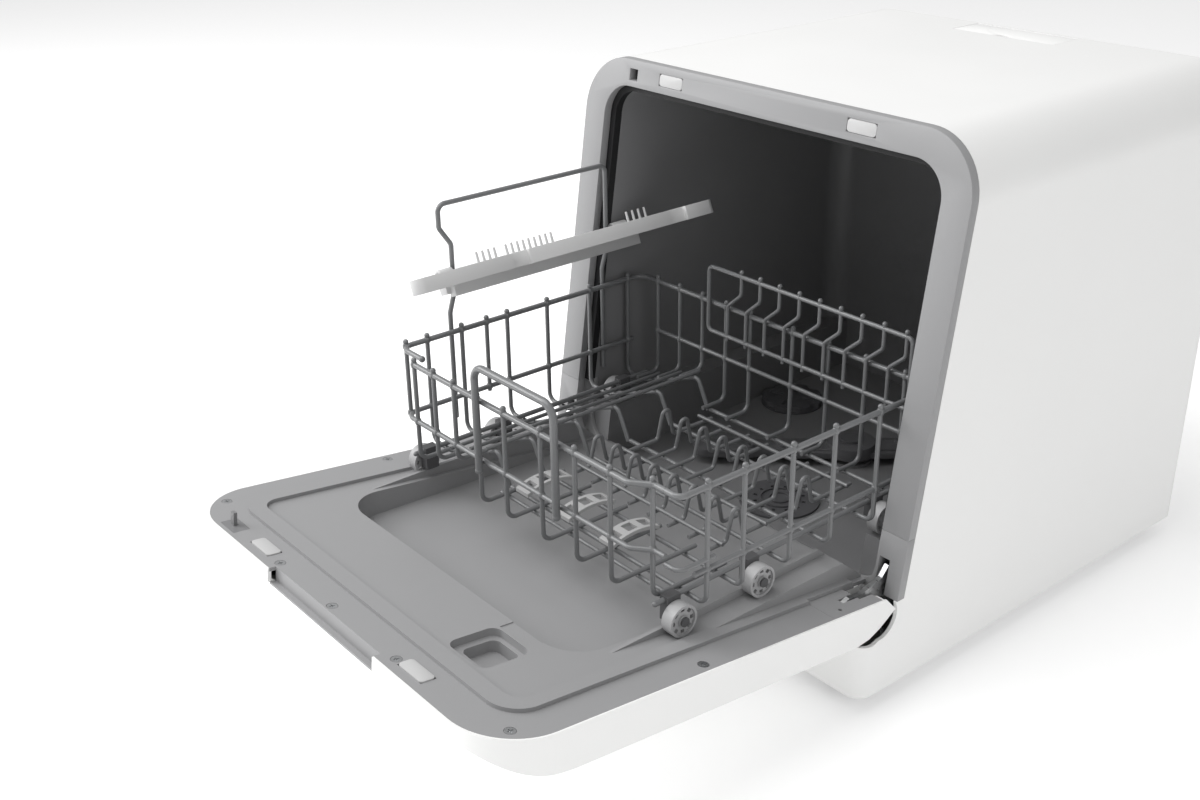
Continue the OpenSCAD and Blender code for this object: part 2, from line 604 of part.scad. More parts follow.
module door_inner() color(PANEL) place() on_door() difference() {
  union() {
    intersection() {
      translate([0, 0, door_h - panel_t]) linear_extrude(panel_t) door_plan(1.5 + 0.1, tongue);
      union() {
        translate([-brk_x0 + 9, -400, -50]) cube([2 * brk_x0 - 18, 400 + tongue, 100]);
        translate([-300, -400, -50]) cube([600, 400, 100]);
      }
    }
    // ridge that meets the seal
    intersection() {
      translate([0, 0, door_h - 0.5]) linear_extrude(ridge_h + 0.5) difference() {
        rrect(-open_x + 1.2, -331, open_x - 1.2, 40, 24);
        rrect(-open_x + 13, -317, open_x - 13, 60, 14);
      }
      translate([-300, -400, 0]) cube([600, 398, 100]);
    }
    // basin and detergent well hang under the panel
    intersection() {
      basin_form(basin_x + 2, basin_end + 2, 34, -2, 60);
      translate([-300, -400, -50]) cube([600, 400 + tongue, 50 + door_h - 0.1]);
    }
    translate([0, 0, door_h - 17]) linear_extrude(16) rrect(well2[0] - 2, well2[1] - 2, well2[2] + 2, well2[3] + 2, 8);
    // lips and ramps that the wheels follow
    track();
    // front wall of the finger recess
    translate([-grip_x + 0.2, -door_len + grip_d - 1.5, door_h - 12.9]) cube([2 * grip_x - 0.4, 1.5, 12]);
    translate([-grip_x + 0.2, -door_len + 1.6, door_h - 12.9]) cube([2 * grip_x - 0.4, grip_d - 2, 1.5]);
  }
  basin_form(basin_x, basin_end, 32, 0, 60);
  // sloping sides of the detergent well
  translate([0, 0, door_h - 15]) linear_extrude(30) rrect(well2[0] + 6, well2[1] + 8, well2[2] - 6, well2[3] - 4, 6);
  translate([0, 0, door_h - 6]) linear_extrude(30) rrect(well2[0], well2[1], well2[2], well2[3], 8);
  // shallow square beside it
  translate([86, -267, door_h - 0.8]) cube([34, 13, 4]);
  // finger recess
  translate([-grip_x + 0.2, -door_len - 1, door_h - 11.4]) cube([2 * grip_x - 0.4, grip_d - 0.5, 30]);
  // screw seats
  for (p = screw_at) translate([p[0], p[1], 0]) {
    cylinder(r = 2.1, h = 40);
    translate([0, 0, door_h - 1.6]) cylinder(r = 4.2, h = 10);
  }
  // seats of the pads and of the lock pin
  for (s = [-1, 1]) translate([s * pad_x - pad_w / 2 - 0.2, -353.2, door_h - 2]) cube([pad_w + 0.4, 12.4, 10]);
  translate([lock_x - 9, -357, door_h - 1]) cube([22, 14, 5]);
  // seats of the hinge covers and the hinge notches
  mirror_x() translate([brk_x0 - 7.5, -54, door_h - panel_t - 1]) cube([60, 100, 30]);
}
module track() {
  mirror_x() intersection() {
    rotate([door_rise, 0, 0]) translate([0, -piv_y, -piv_z]) union() {
      along_x(wheel_x - wheel_w / 2 - 1.2, 174)
        polygon([[-200, 80], [-2, 80], [-2, sill_z + 2], [-25, rail_z], [-200, rail_z]]);
      along_x(wheel_x - wheel_w / 2 - 4.2, wheel_x - wheel_w / 2 - 1)
        polygon([[-260, 80], [-2, 80], [-2, sill_z + 2], [-32, rail_z + 6.5], [-260, rail_z + 6.5]]);
    }
    translate([-300, -400, door_h - 2]) cube([600, 500, 60]);
  }
}
module hinge_covers() color(PANEL) place() on_door() mirror_x() difference() {
  translate([brk_x0 - 7.3, -53.8, door_h - panel_t]) cube([half_w - 1.6 - brk_x0 + 7.3, 53.8, panel_t]);
  translate([brk_x0 - 7.5, -14.2, 0]) cube([arm_x1 - brk_x0 + 10.7, 60, 40]);
  translate([arm_x0 - 0.8, -30, 0]) cube([arm_x1 - arm_x0 + 1.6, 60, 40]);
  translate([201, -40, 0]) cylinder(r = 1.6, h = 40);
}
module hinge_arm() {
  difference() {
    union() {
      along_x(arm_x0, arm_x1) {
        circle(8);
        polygon([[-8, 0], [-27, 10], [-28, 14.5], [-22, 17.5], [-8, 17.2], [14, 25], [20, 34], [32, 34], [34, 27],
          [26, 14], [8, 2]]);
      }
      along_x(brk_x0 - 3, half_w - 9) circle(d = pin_d);
    }
    along_x(arm_x0 - 1, arm_x1 + 1) translate([26, 28]) circle(2.5);
  }
}
module hinge_arm_right() color(STEEL) place() on_door() hinge_arm();
module hinge_arm_left() color(STEEL) place() on_door() mirror([1, 0, 0]) hinge_arm();
module door_screws() color(STEEL) place() on_door() for (p = screw_at) translate([p[0], p[1], 0]) difference() {
  union() {
    translate([0, 0, door_h - 1.5]) cylinder(r = 3.9, h = 1.4);
    translate([0, 0, 0.2]) cylinder(r = 1.6, h = door_h - 1);
  }
  for (a = [0, 90]) rotate(a) translate([-2.2, -0.4, door_h - 1]) cube([4.4, 0.8, 2]);
}
module door_pads() color("#c4c4c4") place() on_door() mirror_x()
  translate([pad_x, -347, door_h - 1.95]) linear_extrude(2.9) rrect(-pad_w / 2, -6, pad_w / 2, 6, 3);
module lock_pin() color("#8a8b8d") place() on_door() {
  translate([lock_x - 8.8, -356.8, door_h - 0.95]) cube([21.6, 13.6, 0.9]);
  translate([lock_x - 2.4, -351.5, door_h - 0.2]) cube([4.8, 3, 11]);
}
button_x = [-120, -92, -64, 120];
module control_panel() color("#1c1d1f") place() on_door() difference() {
  translate([-panel_x, -door_len + 78, -door_h]) cube([2 * panel_x, panel_w, skin + 1.4]);
  for (x = button_x) translate([x, -door_len + 78 + panel_w / 2, -door_h - 1]) {
    cylinder(r = button_d / 2 + 0.1, h = 20);
    translate([0, 0, 2.4]) cylinder(r = button_d / 2 + 1.2, h = 20);
  }
  translate([-30, -door_len + 82, -door_h - 1]) cube([70, panel_w - 8, 2]);
}
module display_window() color("#30363c") place() on_door()
  translate([-29.9, -door_len + 82.1, -door_h]) cube([69.8, panel_w - 8.2, 0.95]);
module button(x) color("#d0d1d3") place() on_door() translate([x, -door_len + 78 + panel_w / 2, -door_h]) {
  translate([0, 0, -1.4]) cylinder(r = button_d / 2, h = 4);
  translate([0, 0, 1.45]) cylinder(r = button_d / 2 + 0.9, h = 1.3);
}
module button_power() button(button_x[0]);
module button_program() button(button_x[1]);
module button_delay() button(button_x[2]);
module button_start() button(button_x[3]);

// ---- rack ----
rack_r = 12;    // bend of the rim at the rack's corners
bend = 8;       // bend at the foot of an upright
// wires that lie on the cross wires, with the thickness of the coating between
function on_floor(d) = floor_z + (wire_d + d) / 2 + 0.1;
rod_z = on_floor(floor_d);
bar_d = floor_d + 0.8;
side_bar = wheel_x - wheel_w / 2 - 5;  // bar that the wheel brackets clip to
ledge_top = floor_z + 26; ledge_x = -74; step_x = -60; ledge_x0 = -144;
ledge_k = (ledge_top - floor_z) / (ledge_x - ledge_x0);
function ledge_at(x) = floor_z + max(0, x - ledge_x0) * ledge_k;
jog_y = -rack_front + 11; jog_x = 157; front_r = 6;
module rack_side_right() color(WIRE) place() {
  // rim with its two corners, the middle rail and the uprights
  wire([[jog_x + 0.2, jog_y, rim_z], [rack_x, jog_y, rim_z], [rack_x, 0, rim_z]], rim_d, front_r);
  wire([[rack_x, -0.4, rim_z], [rack_x, rack_back, rim_z], [rack_x - 20, rack_back, rim_z]], rim_d, rack_r);
  wire([[jog_x + 0.2, jog_y, mid_z + 6], [rack_x, jog_y, mid_z + 6], [rack_x, -158, mid_z + 6]], wire_d, front_r);
  wire([[rack_x, -176, mid_z - 2], [rack_x, 62, mid_z - 2]], wire_d + 0.4, rack_r);
  bead([rack_x, 62, mid_z - 2], wire_d);
  bead([rack_x, -176, mid_z - 2], wire_d);
  for (y = cross_y) {
    wire([[rack_x, y, rim_z + 4], [rack_x, y, floor_z], [rack_x - bend - 0.4, y, floor_z]], wire_d, bend);
    bead([rack_x, y, rim_z + 4], wire_d);
  }
}
module rack_side_left() color(WIRE) place() {
  wire([[-rack_x + 32, jog_y, rim_z], [-rack_x, jog_y, rim_z],
    [-rack_x, rack_back, rim_z], [-rack_x + 20, rack_back, rim_z]], rim_d, rack_r);
  bead([-rack_x + 32, jog_y, rim_z], rim_d);
  wire([[-rack_x + 32, jog_y, mid_z + 2], [-rack_x, jog_y, mid_z + 2],
    [-rack_x, 62, mid_z + 2]], wire_d + 0.4, rack_r);
  bead([-rack_x + 32, jog_y, mid_z + 2], wire_d);
  bead([-rack_x, 62, mid_z + 2], wire_d);
  for (y = cross_y) {
    wire([[-rack_x, y, rim_z + 4], [-rack_x, y, floor_z], [-rack_x + bend + 0.4, y, floor_z]], wire_d, bend);
    bead([-rack_x, y, rim_z + 4], wire_d);
  }
  for (y = [-186, -104]) {
    wire([[-rack_x, y, rim_z + 4], [-rack_x, y, mid_z - 2]], wire_d, bend);
    bead([-rack_x, y, rim_z + 4], wire_d);
  }
}
function front_y(x) = x > 140 ? jog_y : -rack_front;
function front_z(x) = x < step_x ? ledge_at(x) + wire_d + 0.6 : on_floor(wire_d);
module rack_front_panel() color(WIRE) place() {
  for (p = [[rim_z, rim_d], [mid_z + 12, wire_d + 0.4]])
    wire([[front_x[0] - 1, -rack_front, p[0]], [132, -rack_front, p[0]], [146, jog_y, p[0]],
      [jog_x, jog_y, p[0]]], p[1], 6);
  for (z = [rim_z, mid_z + 12]) bead([front_x[0] - 1, -rack_front, z], wire_d);
  for (x = front_x) {
    wire([[x, front_y(x), rim_z + 4], [x, front_y(x), front_z(x)], [x, front_y(x) + bend + 0.4, front_z(x)]], wire_d, bend);
    bead([x, front_y(x), rim_z + 4], wire_d);
  }
}
back_x = [-148, -118, -88, -58, -28, 22, 62, 102, 142];
module rack_back_panel() color(WIRE) place() {
  wire([[-rack_x + 20.2, rack_back, rim_z], [rack_x - 20.2, rack_back, rim_z]], rim_d, 6);
  wire([[-rack_x + 22, rack_back, mid_z + 14], [rack_x - 14, rack_back, mid_z + 14]], wire_d, 6);
  for (x = back_x) {
    z = ledge_at(x < step_x ? x : ledge_x0) + wire_d + (x < step_x && x > ledge_x0 ? 0.5 : 0.1);
    wire([[x, rack_back, rim_z + 4], [x, rack_back, z], [x, 48, z]], wire_d, bend);
    bead([x, rack_back, rim_z + 4], wire_d);
  }
}
module rack_floor() color(WIRE) place() {
  // cross wires, from the right side to the step
  for (y = cross_y) rod([step_x + 2.6, y, floor_z], [rack_x - bend - 0.5, y, floor_z], wire_d);
  // long bars that lie on them and carry the wheels
  for (s = [-1, 1]) {
    rod([s * side_bar, -196, on_floor(bar_d)], [s * side_bar, 64, on_floor(bar_d)], bar_d);
    for (y = [-196, 64]) bead([s * side_bar, y, on_floor(bar_d)], floor_d);
  }
  // tails of the front loops, and the bar under them
  for (x = front_x) rod([x, front_y(x) + bend + 0.5, front_z(x)], [x, x < step_x ? -174 : -120, front_z(x)], wire_d);
  rod([step_x + 4, -176, floor_z - 0.1 + (wire_d - floor_d) / 2], [146.4, -176, floor_z - 0.1 + (wire_d - floor_d) / 2], floor_d);
}
tine_x = -38;
module tine_wires() color(WIRE) place() {
  for (i = [0 : tine_n - 1]) let (x = tine_x + i * tine_pitch, z = rod_z)
    wire([[x, -116, z], [x, -99, z], [x + 1, -90, z + tine_h + 8], [x, -81, z], [x, -24, z],
      [x + 1, -15, z + tine_h + 8], [x, -6, z], [x, 40, z]], floor_d, 4);
  for (y = [-108, -62, 30]) rod([tine_x - 6, y, rod_z + floor_d + 0.15],
    [tine_x + 6 + (tine_n - 1) * tine_pitch, y, rod_z + floor_d + 0.15], floor_d);
}
module rack_ledge() color(WIRE) place() {
  // wires that rise from the left side, step down and end at the cross wires
  for (y = cross_y) wire([[-rack_x + bend + 0.5, y, floor_z], [ledge_x0, y, floor_z],
    [ledge_x, y, ledge_top], [step_x, y, floor_z - 1.5]], wire_d, 6);
  for (x = [-136, -106, -82]) rod([x, -171, ledge_at(x) + wire_d + 0.2], [x, 66, ledge_at(x) + wire_d + 0.2], floor_d);
}
module back_rack() color(WIRE) place() {
  y = rack_back - (rim_d + wire_d) / 2 - 0.1;
  wire([[150, y, 209], [-76, y, 209], [-76, y, 269], [150, y, 269], [150, y, 209.5]], wire_d, 5);
  for (i = [0 : 8]) let (x = -52 + i * 22.5) {
    wire([[x + 16, y, 273], [x + 16, y, 252], [x, y, 238], [x, y, 205]], wire_d - 0.6, 6);
    translate([x + 16, y, 273]) sphere(d = wire_d + 0.4);
  }
}
post_y = [-132.5, 35]; stay_d = wire_d + 0.4; post_x = -rack_x - (rim_d + stay_d) / 2 - 0.1;
shelf_x = post_x + (stay_d + 4) / 2 - 0.4;
module shelf_frame() color(WIRE) place() {
  wire([[post_x, post_y[0] - 5, floor_z + 12], [post_x, post_y[0] - 5, 250], [post_x, post_y[0], 266],
    [post_x, post_y[0], 310], [post_x, post_y[0] - 11, 326], [post_x, post_y[0] - 11, tall_z],
    [post_x, post_y[1], tall_z], [post_x, post_y[1], 266],
    [post_x, post_y[1] - 5, 250], [post_x, post_y[1] - 5, floor_z + 12]], stay_d, 7);
  // hinge rod of the cup shelf
  wire([[shelf_x, post_y[0] - 19, shelf_z], [shelf_x, post_y[1] + 22, shelf_z]], 4, 4);
}
module pull_handle() color(WIRE) place() {
  y = -rack_front - (rim_d + pull_d) / 2 - 0.1;
  wire([[-40, y, mid_z + 6], [-40, y, 266], [57, y, 266], [57, y, mid_z + 6]], pull_d, 12);
  for (x = [-40, 57]) translate([x, y, mid_z + 6]) sphere(d = pull_d + 0.6);
}
module cup_rests() color(PALE) place() for (i = [0 : 2]) let (x = -30 + i * 52, y = -152)
  translate([x, y, 0]) difference() {
    along_x(-8, 8) difference() {
      translate([0, rod_z + 12 - 60]) circle(60);
      translate([0, rod_z + 12 - 60]) circle(57.2);
      translate([-100, -100]) square([200, rod_z + 90]);
      for (s = [-1, 1]) translate([s * 123, rod_z]) square([200, 100], center = true);
    }
    for (t = [-15, 0, 15]) translate([-5, t - 5, rod_z]) cube([10, 9, 30]);
  }
module wheel_brackets() color(DARK) place() mirror_x() for (y = wheel_y) difference() {
  union() {
    translate([side_bar - 3.8, y - 6, axle_z - 4]) cube([side_seat - side_bar + 3.8, 12, rod_z + 7.6 - axle_z]);
    translate([side_seat - 0.5, y, axle_z]) rotate([0, 90, 0]) cylinder(r = axle_d / 2, h = wheel_w + 1.4);
    translate([side_seat + wheel_w + 0.6, y, axle_z]) rotate([0, 90, 0]) cylinder(r = axle_d / 2 + 1.2, h = 1.4);
  }
  translate([side_bar, y - 10, on_floor(bar_d)]) rotate([-90, 0, 0]) cylinder(d = bar_d + 2 * fit, h = 20);
}
side_seat = wheel_x - wheel_w / 2 - 0.3;
module wheel(x, y) color("#8d8e90") place() translate([x - wheel_w / 2, wheel_y[y], axle_z]) rotate([0, 90, 0]) difference() {
  cylinder(r = wheel_r, h = wheel_w);
  translate([0, 0, -1]) cylinder(r = axle_d / 2 + fit, h = 20);
  // dished faces with a ring of slots and a ring round the hub
  for (z = [-1, wheel_w - 1.6]) translate([0, 0, z]) difference() { cylinder(r = wheel_r - 2, h = 2.6); translate([0, 0, -1]) cylinder(r = 4.4, h = 5); }
  for (a = [0 : 45 : 315]) rotate(a) translate([7.2, -1.7, -1]) cube([2.8, 3.4, 20]);
}
module wheel_right_front() wheel(wheel_x, 0);
module wheel_right_mid() wheel(wheel_x, 1);
module wheel_right_rear() wheel(wheel_x, 2);
module wheel_left_front() wheel(-wheel_x, 0);
module wheel_left_mid() wheel(-wheel_x, 1);
module wheel_left_rear() wheel(-wheel_x, 2);

// ---- cup shelf ----
shelf_y0 = -223; beam_y = [-146, 56];
hook_y = [[post_y[0] - 17, post_y[0] - 3.6], [post_y[1] + 3.6, post_y[1] + 20]];
shelf_low = 1.8 - shelf_rim;   // the tray hangs just under its hinge rod
module cup_shelf() color(PALE) place()
  translate([shelf_x, 0, shelf_z]) rotate([0, -shelf_tilt, 0]) difference() {
    union() {
      difference() {
        translate([0, 0, shelf_low]) linear_extrude(shelf_rim) shelf_plan(0);
        translate([0, 0, shelf_low + 2.2]) linear_extrude(30) shelf_plan(2.4);
      }
      // hollow beam along the hinge side
      along_y(beam_y[0], beam_y[1]) translate([5.5, -20]) square([9, 21]);
      // hooks round the hinge rod, each with a leg beside its post
      for (h = hook_y) along_y(h[0], h[1]) { circle(4.6); translate([-4, -17]) square([11, 17]); }
      // pins that cup stems lean on
      for (y = [-120, -114, -108, -102, -90, -84, -78, -72, -66, -60, -54, -48, -42, 44, 51, 58, 65])
        translate([20, y, shelf_low + 1]) cylinder(r1 = 1.5, r2 = 1, h = 20);
      // rib across the middle
      translate([10, -2, shelf_low + 1]) cube([shelf_w - 12, 2.5, 7]);
    }
    along_y(beam_y[0] + 2.4, beam_y[1] - 2.4) translate([7.9, -21]) square([4.2, 19]);
    for (h = hook_y) along_y(h[0] - 1, h[1] + 1) circle(2 + fit);
    // drain slots
    for (i = [1 : 8]) translate([34, shelf_y0 + 30 + i * 29, shelf_low - 1]) cube([shelf_w - 46, 6, 5]);
  }
// the left end runs back at a slant; two notches for bottle necks in the near rim
module shelf_plan(i) {
  x0 = 5.5; x1 = shelf_w; y0 = shelf_y0; y1 = shelf_y0 + shelf_l; r = 8;
  difference() {
    hull() for (c = [[x0 + r, -150], [x1 - r, y0 + r + 2], [x1 - r, y1 - r], [x0 + r, 62]])
      translate(c) circle(r - i);
    for (y = [[-131, -114], [36, 55]])
      translate([x1 - 4 - i, y[0] - i]) square([20, y[1] - y[0] + 2 * i]);
  }
}

outer_casing();
base_pan();
rear_cover();
front_frame();
lower_frame();
door_seal();
wash_tub();
sump_cup();
filter_basket();
salt_cap();
spray_post();
wash_pump();
drain_pump();
flow_heater();
water_tank();
control_board();
door_lock();
frame_pads();
rubber_feet();
cable_gland();
inlet_connector();
drain_connector();
hinge_brackets();
tank_lid();
spray_arm();
door_outer();
door_inner();
hinge_covers();
hinge_arm_left();
hinge_arm_right();
door_screws();
door_pads();
lock_pin();
control_panel();
display_window();
button_power();
button_program();
button_delay();
button_start();
rack_side_left();
rack_side_right();
rack_front_panel();
rack_back_panel();
rack_floor();
tine_wires();
rack_ledge();
back_rack();
shelf_frame();
pull_handle();
cup_rests();
wheel_brackets();
cup_shelf();
wheel_right_front();
wheel_right_mid();
wheel_right_rear();
wheel_left_front();
wheel_left_mid();
wheel_left_rear();
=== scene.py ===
import bpy
import math
from mathutils import Matrix, Vector


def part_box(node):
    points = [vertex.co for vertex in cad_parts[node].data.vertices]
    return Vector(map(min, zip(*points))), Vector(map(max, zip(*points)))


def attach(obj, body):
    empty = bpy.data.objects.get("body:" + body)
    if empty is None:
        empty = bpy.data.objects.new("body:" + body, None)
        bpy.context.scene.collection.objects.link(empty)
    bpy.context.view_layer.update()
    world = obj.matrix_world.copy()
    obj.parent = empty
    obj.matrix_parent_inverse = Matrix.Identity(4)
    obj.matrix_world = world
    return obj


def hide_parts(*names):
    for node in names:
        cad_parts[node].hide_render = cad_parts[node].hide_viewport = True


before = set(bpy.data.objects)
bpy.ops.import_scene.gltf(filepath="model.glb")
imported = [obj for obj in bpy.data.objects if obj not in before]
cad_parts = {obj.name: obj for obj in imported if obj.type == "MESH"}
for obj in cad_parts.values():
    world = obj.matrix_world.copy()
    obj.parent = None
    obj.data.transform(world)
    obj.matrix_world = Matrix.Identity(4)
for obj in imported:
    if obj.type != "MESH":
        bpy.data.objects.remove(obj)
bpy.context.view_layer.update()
bpy.ops.object.select_all(action="DESELECT")

# ---- Outer casing ----
# The cabinet's skin is one U-shaped wrap of white ABS, injection moulded and
# polished to a soft gloss. It slides over the base and clips to the frames.

def plastic(name, colour, rough, grain, depth, cloud=0.02, coat=0.0):
    """Moulded plastic: its tone drifts by the share cloud, its skin has a grain of that depth."""
    material = bpy.data.materials.new(name)
    material.use_nodes = True
    nodes, links = material.node_tree.nodes, material.node_tree.links
    shader = nodes["Principled BSDF"]
    shader.inputs["IOR"].default_value = 1.47
    shader.inputs["Coat Weight"].default_value = coat
    shader.inputs["Coat Roughness"].default_value = 0.12
    where = nodes.new("ShaderNodeTexCoord")
    slow = nodes.new("ShaderNodeTexNoise")
    slow.inputs["Scale"].default_value = 9.0
    slow.inputs["Detail"].default_value = 3.0
    links.new(where.outputs["Object"], slow.inputs["Vector"])
    tone = nodes.new("ShaderNodeMix")
    tone.data_type = "RGBA"
    tone.inputs["A"].default_value = (*[c * (1 - cloud) for c in colour], 1)
    tone.inputs["B"].default_value = (*[min(1, c * (1 + cloud)) for c in colour], 1)
    links.new(slow.outputs["Fac"], tone.inputs["Factor"])
    links.new(tone.outputs["Result"], shader.inputs["Base Color"])
    polish = nodes.new("ShaderNodeMapRange")
    polish.inputs["To Min"].default_value = rough - 0.05
    polish.inputs["To Max"].default_value = rough + 0.05
    links.new(slow.outputs["Fac"], polish.inputs["Value"])
    links.new(polish.outputs["Result"], shader.inputs["Roughness"])
    fine = nodes.new("ShaderNodeTexNoise")
    fine.inputs["Scale"].default_value = grain
    fine.inputs["Detail"].default_value = 2.0
    links.new(where.outputs["Object"], fine.inputs["Vector"])
    skin = nodes.new("ShaderNodeBump")
    skin.inputs["Strength"].default_value = 0.35
    skin.inputs["Distance"].default_value = depth
    links.new(fine.outputs["Fac"], skin.inputs["Height"])
    links.new(skin.outputs["Normal"], shader.inputs["Normal"])
    return material

def paint(node, material):
    """A CAD node that stays as it is gets its material."""
    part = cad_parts[node]
    part.data.materials.clear()
    part.data.materials.append(material)

casing_white = plastic("casing_white", (0.87, 0.87, 0.862),
                       rough=0.3, grain=260, depth=0.00012, cloud=0.012)
paint("outer_casing", casing_white)

# ---- Rear cover and its screws ----
# A flat moulded cover with vent slots and a pocket for the hose nuts. Ten zinc
# plated pan head screws with a cross recess hold it to the casing.

paint("rear_cover", casing_white)

def steel(name, colour, rough, streak):
    """Plated or brushed steel: fine streaks along X in its polish, a little cloud in its tone."""
    material = bpy.data.materials.new(name)
    material.use_nodes = True
    nodes, links = material.node_tree.nodes, material.node_tree.links
    shader = nodes["Principled BSDF"]
    shader.inputs["Metallic"].default_value = 1.0
    where = nodes.new("ShaderNodeTexCoord")
    along = nodes.new("ShaderNodeMapping")
    along.inputs["Scale"].default_value = (1, streak, streak)
    links.new(where.outputs["Object"], along.inputs["Vector"])
    lines = nodes.new("ShaderNodeTexNoise")
    lines.inputs["Scale"].default_value = 60.0
    lines.inputs["Detail"].default_value = 4.0
    links.new(along.outputs["Vector"], lines.inputs["Vector"])
    tone = nodes.new("ShaderNodeMix")
    tone.data_type = "RGBA"
    tone.inputs["A"].default_value = (*[c * 0.82 for c in colour], 1)
    tone.inputs["B"].default_value = (*colour, 1)
    links.new(lines.outputs["Fac"], tone.inputs["Factor"])
    links.new(tone.outputs["Result"], shader.inputs["Base Color"])
    polish = nodes.new("ShaderNodeMapRange")
    polish.inputs["To Min"].default_value = rough - 0.1
    polish.inputs["To Max"].default_value = rough + 0.12
    links.new(lines.outputs["Fac"], polish.inputs["Value"])
    links.new(polish.outputs["Result"], shader.inputs["Roughness"])
    scratch = nodes.new("ShaderNodeBump")
    scratch.inputs["Strength"].default_value = 0.25
    scratch.inputs["Distance"].default_value = 0.00004
    links.new(lines.outputs["Fac"], scratch.inputs["Height"])
    links.new(scratch.outputs["Normal"], shader.inputs["Normal"])
    return material

screw_steel = steel("screw_steel", (0.60, 0.61, 0.62), rough=0.35, streak=3)
head_radius = 0.0037
head_height = 0.0026
head_rounding = 0.0011
recess_size = (0.0038, 0.0016, 0.0008)
recess_y = 0.0011      # the cutter's middle, so the recess is 1 mm deep
head_stand = 0.0006    # the head's middle, behind the cover's face
edge_x, edge_rows = 0.2, (0.07, 0.165, 0.28, 0.395)
top_x, top_z = 0.1, 0.43

bpy.ops.object.select_all(action="DESELECT")
bpy.ops.mesh.primitive_cylinder_add(vertices=28, radius=head_radius, depth=head_height,
                                    rotation=(math.pi / 2, 0, 0))
screw = bpy.context.active_object
bpy.ops.object.transform_apply(location=True, rotation=True, scale=True)
dome = screw.modifiers.new("dome", "BEVEL")
dome.width = head_rounding
dome.segments = 4
dome.limit_method = "ANGLE"
bpy.ops.object.modifier_apply(modifier=dome.name)
for turn in (0, math.pi / 2):
    bpy.ops.object.select_all(action="DESELECT")
    bpy.ops.mesh.primitive_cube_add(size=1, location=(0, recess_y, 0),
                                    rotation=(0, turn, 0), scale=recess_size)
    blade = bpy.context.active_object
    bpy.ops.object.transform_apply(location=True, rotation=True, scale=True)
    cut = screw.modifiers.new("recess", "BOOLEAN")
    cut.operation = "DIFFERENCE"
    cut.object = blade
    bpy.ops.object.select_all(action="DESELECT")
    screw.select_set(True)
    bpy.context.view_layer.objects.active = screw
    bpy.ops.object.modifier_apply(modifier=cut.name)
    bpy.data.objects.remove(blade)
screw.data.materials.append(screw_steel)
bpy.ops.object.shade_smooth_by_angle(angle=math.radians(35))
screw_shape = screw.data.copy()
bpy.data.objects.remove(screw)

back_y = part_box("rear_cover")[1].y
spots = [(x, z) for x in (-edge_x, edge_x) for z in edge_rows] + [(-top_x, top_z), (top_x, top_z)]
for number, (x, z) in enumerate(spots, start=1):
    one = bpy.data.objects.new("rear_screw_%d" % number, screw_shape.copy())
    bpy.context.scene.collection.objects.link(one)
    one.data.transform(Matrix.Translation((x, back_y + head_stand, z)))
    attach(one, "cabinet")

# ---- Lid of the fill tank ----
# A small white lid that lies flush in the top of the casing and lifts on two
# moulded pins at its rear edge.

def moulded(node, body, material, radius):
    """A copy of a CAD node whose sharp edges are broken by a small radius, in its place."""
    piece = bpy.data.objects.new(node + "_moulded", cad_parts[node].data.copy())
    bpy.context.scene.collection.objects.link(piece)
    piece.data.materials.clear()
    piece.data.materials.append(material)
    bpy.ops.object.select_all(action="DESELECT")
    piece.select_set(True)
    bpy.context.view_layer.objects.active = piece
    bpy.ops.mesh.customdata_custom_splitnormals_clear()
    bpy.ops.object.mode_set(mode="EDIT")
    bpy.ops.mesh.select_all(action="SELECT")
    bpy.ops.mesh.remove_doubles(threshold=0.00001)
    bpy.ops.mesh.dissolve_limited(angle_limit=math.radians(0.05))
    bpy.ops.object.mode_set(mode="OBJECT")
    edge = piece.modifiers.new("broken_edge", "BEVEL")
    edge.width = radius
    edge.segments = 2
    edge.limit_method = "ANGLE"
    edge.angle_limit = math.radians(40)
    edge.use_clamp_overlap = False
    bpy.ops.object.modifier_apply(modifier=edge.name)
    bpy.ops.object.shade_smooth_by_angle(angle=math.radians(38))
    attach(piece, body)
    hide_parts(node)

moulded("tank_lid", "lid", casing_white, radius=0.0005)

# ---- Base pan and feet ----
# The base is a pale polypropylene pan, left as it comes from the mould. The
# feet are moulded rubber pads, pushed into it.

base_grey = plastic("base_grey", (0.46, 0.46, 0.46),
                    rough=0.5, grain=900, depth=0.00008, cloud=0.02)
paint("base_pan", base_grey)
foot_rubber = plastic("foot_rubber", (0.028, 0.028, 0.029),
                      rough=0.62, grain=800, depth=0.00012, cloud=0.12)
paint("rubber_feet", foot_rubber)

# ---- Front frame, lower frame and strike pads ----
# A fine matt grey moulding frames the mouth of the cabinet. The piece under
# the opening is separate and carries the hinge slots; the pale strike pads
# are pressed into pockets above the opening.

frame_grey = plastic("frame_grey", (0.30, 0.30, 0.305), rough=0.46, grain=1500, depth=0.00006)
moulded("front_frame", "cabinet", frame_grey, radius=0.0005)
moulded("lower_frame", "cabinet", frame_grey, radius=0.0003)
pad_pale = plastic("pad_pale", (0.50, 0.50, 0.50), rough=0.42, grain=900, depth=0.00006)
moulded("frame_pads", "cabinet", pad_pale, radius=0.0005)

# ---- Door seal ----
# A black rubber profile, extruded and joined to a ring. It is pushed on the
# tub's edge all round the opening, with no glue.

seal_black = plastic("seal_black", (0.010, 0.010, 0.011),
                     rough=0.62, grain=500, depth=0.0001, cloud=0.1)
paint("door_seal", seal_black)

# ---- Wash tub ----
# The tub is one deep moulding in dark grey polypropylene: smooth and a little
# glossy, with a slow unevenness in the shine of its walls.

tub_grey = plastic("tub_grey", (0.235, 0.235, 0.24),
                   rough=0.32, grain=120, depth=0.0002, cloud=0.06)
paint("wash_tub", tub_grey)

